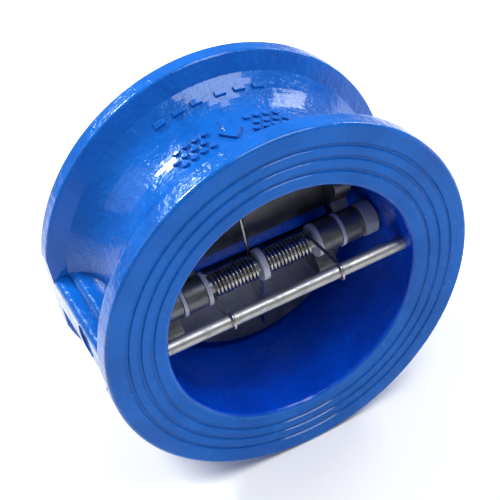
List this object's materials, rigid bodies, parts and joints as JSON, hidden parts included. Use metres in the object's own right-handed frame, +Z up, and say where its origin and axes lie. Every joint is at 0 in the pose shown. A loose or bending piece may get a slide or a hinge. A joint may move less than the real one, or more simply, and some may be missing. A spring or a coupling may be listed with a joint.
{
  "type": "wafer check valve",
  "caption": "Dual-plate wafer check valve: short round body with two sprung half-disc plates on a hinge pin, closed at rest, and a stop pin across the outlet.",
  "frame": {"origin": "centre of the inlet face, on the axis of the inlet bore", "axes": "-Y along the flow, from inlet to outlet; +X along the hinge pin; +Z up"},
  "size_m": [0.218, 0.098, 0.218],
  "materials": {
    "blue_enamel": "gloss epoxy over rough casting",
    "cast_steel": "fine blasted casting",
    "bright_steel": "ground",
    "spring_steel": "drawn wire",
    "white_nylon": "satin",
    "grey_ptfe": "satin",
    "painted_plug": "gloss epoxy",
    "seat_rubber": "matt"
  },
  "bodies": {
    "housing": {"body": "blue_enamel", "seat_upper": "seat_rubber", "seat_lower": "seat_rubber", "hinge_pin": "bright_steel", "stop_pin": "bright_steel", "spring_left": "spring_steel", "spring_right": "spring_steel", "centre_spacer": "white_nylon", "inner_washer_left": "white_nylon", "inner_washer_right": "white_nylon", "outer_washer_left": "white_nylon", "outer_washer_right": "white_nylon", "bush_left": "grey_ptfe", "bush_right": "grey_ptfe", "hinge_plug_left": "painted_plug", "hinge_plug_right": "painted_plug", "stop_plug_left": "painted_plug", "stop_plug_right": "painted_plug", "hinge_seal_left": "seat_rubber", "hinge_seal_right": "seat_rubber", "stop_seal_left": "seat_rubber", "stop_seal_right": "seat_rubber"},
    "upper_plate": {"plate_upper": "cast_steel"},
    "lower_plate": {"plate_lower": "cast_steel"}
  },
  "joints": [
    {"name": "upper_plate_swing", "type": "hinge", "parent": "housing", "child": "upper_plate", "pos_m": [0, -0.055, 0], "axis": [1, 0, 0], "range_deg": [0, 85], "stiffness_Nm_per_rad": 0.34, "springref_deg": -60.16, "deforming": ["spring_left"]},
    {"name": "lower_plate_swing", "type": "hinge", "parent": "housing", "child": "lower_plate", "pos_m": [0, -0.055, 0], "axis": [-1, 0, 0], "range_deg": [0, 85], "stiffness_Nm_per_rad": 0.34, "springref_deg": -60.16, "deforming": ["spring_right"]}
  ]
}
